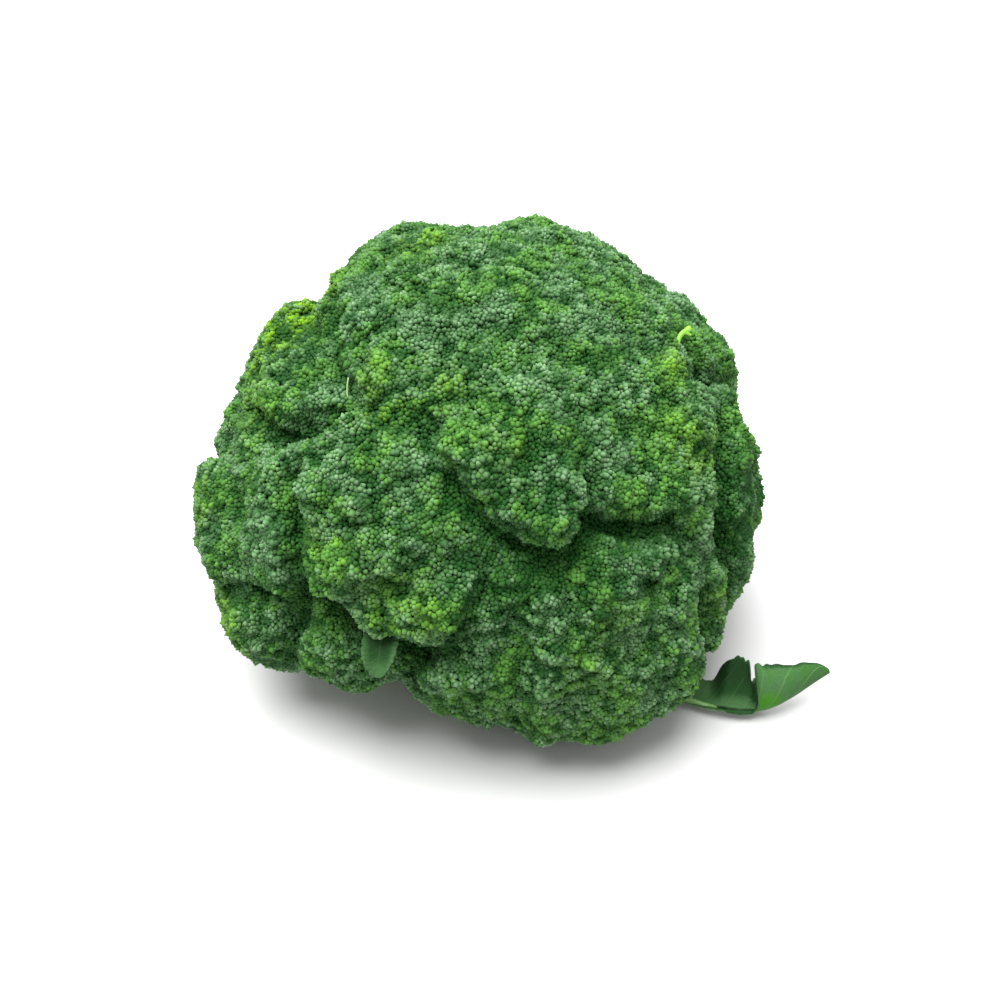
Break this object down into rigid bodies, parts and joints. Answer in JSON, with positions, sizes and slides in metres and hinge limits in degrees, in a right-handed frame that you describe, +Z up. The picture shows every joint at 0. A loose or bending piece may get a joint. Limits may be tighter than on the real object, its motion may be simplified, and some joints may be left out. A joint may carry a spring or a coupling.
{
  "type": "broccoli head",
  "caption": "Trimmed head of broccoli: domed florets of fine green buds on a short, cut, branching stem, with small curled leaves at its foot.",
  "frame": {"origin": "middle of the stem's cut face, on the surface that the head stands on", "axes": "+Z up through the crown, -Y towards the front of the head, +X towards the side where the curled leaf comes out"},
  "size_m": [0.1907, 0.1771, 0.1283],
  "materials": {
    "florets": "matte, waxy bloom over packed green buds",
    "stalk": "satin, pale green skin with a wetter, paler cut face",
    "leaves": "satin, dark green above and paler grey-green below with pale veins"
  },
  "bodies": {
    "root": {"floret_top": "florets", "floret_top_back_left": "florets", "floret_top_back_right": "florets", "floret_top_right": "florets", "floret_top_left": "florets", "floret_shoulder_right": "florets", "floret_shoulder_left": "florets", "floret_right": "florets", "floret_side_right": "florets", "floret_side_left_high": "florets", "floret_side_left": "florets", "floret_front": "florets", "floret_front_left": "florets", "floret_front_mid": "florets", "floret_front_low": "florets", "floret_front_low_left": "florets", "floret_low_right": "florets", "floret_low_left": "florets", "floret_low_front_left": "florets", "floret_back_high": "florets", "floret_back_left_high": "florets", "floret_back_right_high": "florets", "floret_back": "florets", "floret_back_left": "florets", "floret_rear_left": "florets", "floret_rear_right": "florets", "stalk": "stalk", "leaf_right": "leaves", "leaf_front_left": "leaves"}
  },
  "joints": []
}
